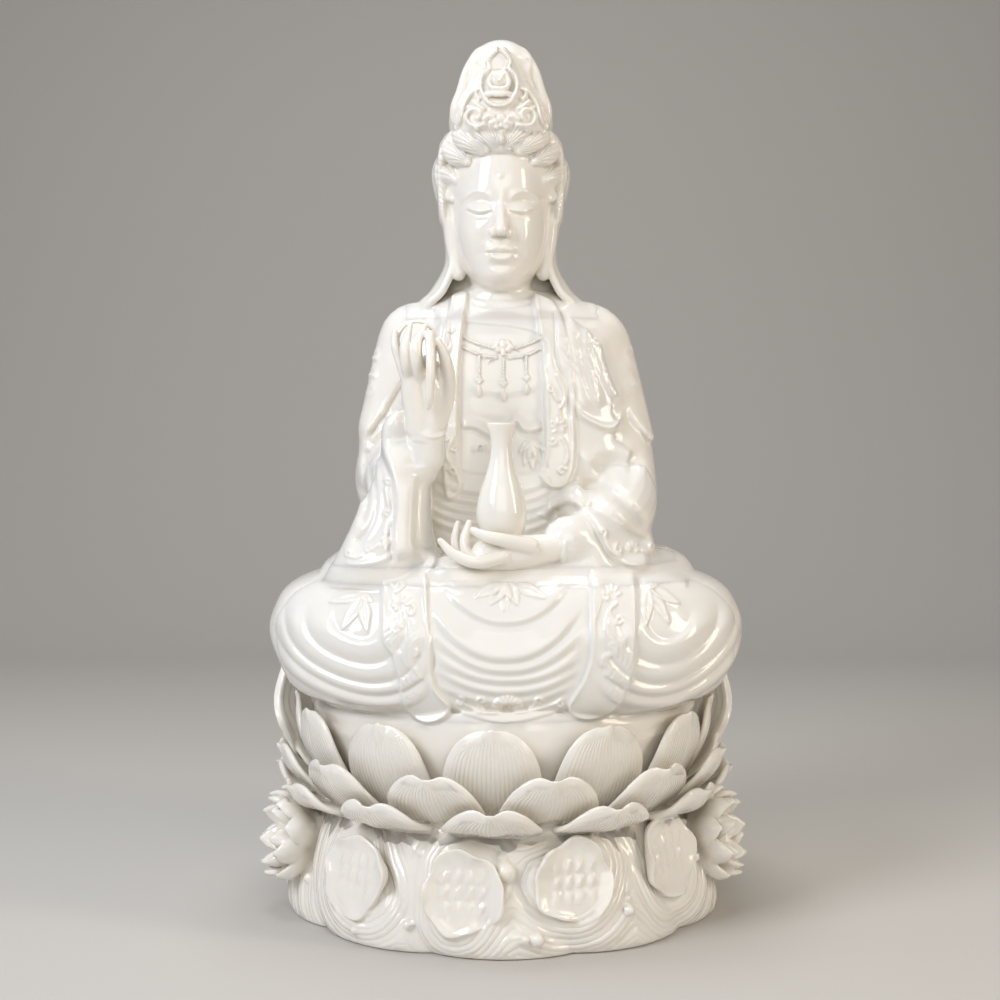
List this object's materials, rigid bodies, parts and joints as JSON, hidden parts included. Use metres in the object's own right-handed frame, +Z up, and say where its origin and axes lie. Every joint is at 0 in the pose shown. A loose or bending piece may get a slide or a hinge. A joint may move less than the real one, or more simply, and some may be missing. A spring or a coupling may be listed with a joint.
{
  "type": "seated guanyin figure",
  "caption": "White porcelain guanyin seated on a lotus throne over a base of waves, with a raised hand and a small vase.",
  "frame": {"origin": "middle of the flat underside of the base, on the floor", "axes": "+Z up, the face towards -Y, +X towards the side of the vase hand's elbow"},
  "size_m": [0.2728, 0.2482, 0.479],
  "materials": {
    "porcelain": "gloss"
  },
  "bodies": {
    "root": {"guanyin_figure": "porcelain"}
  },
  "joints": []
}
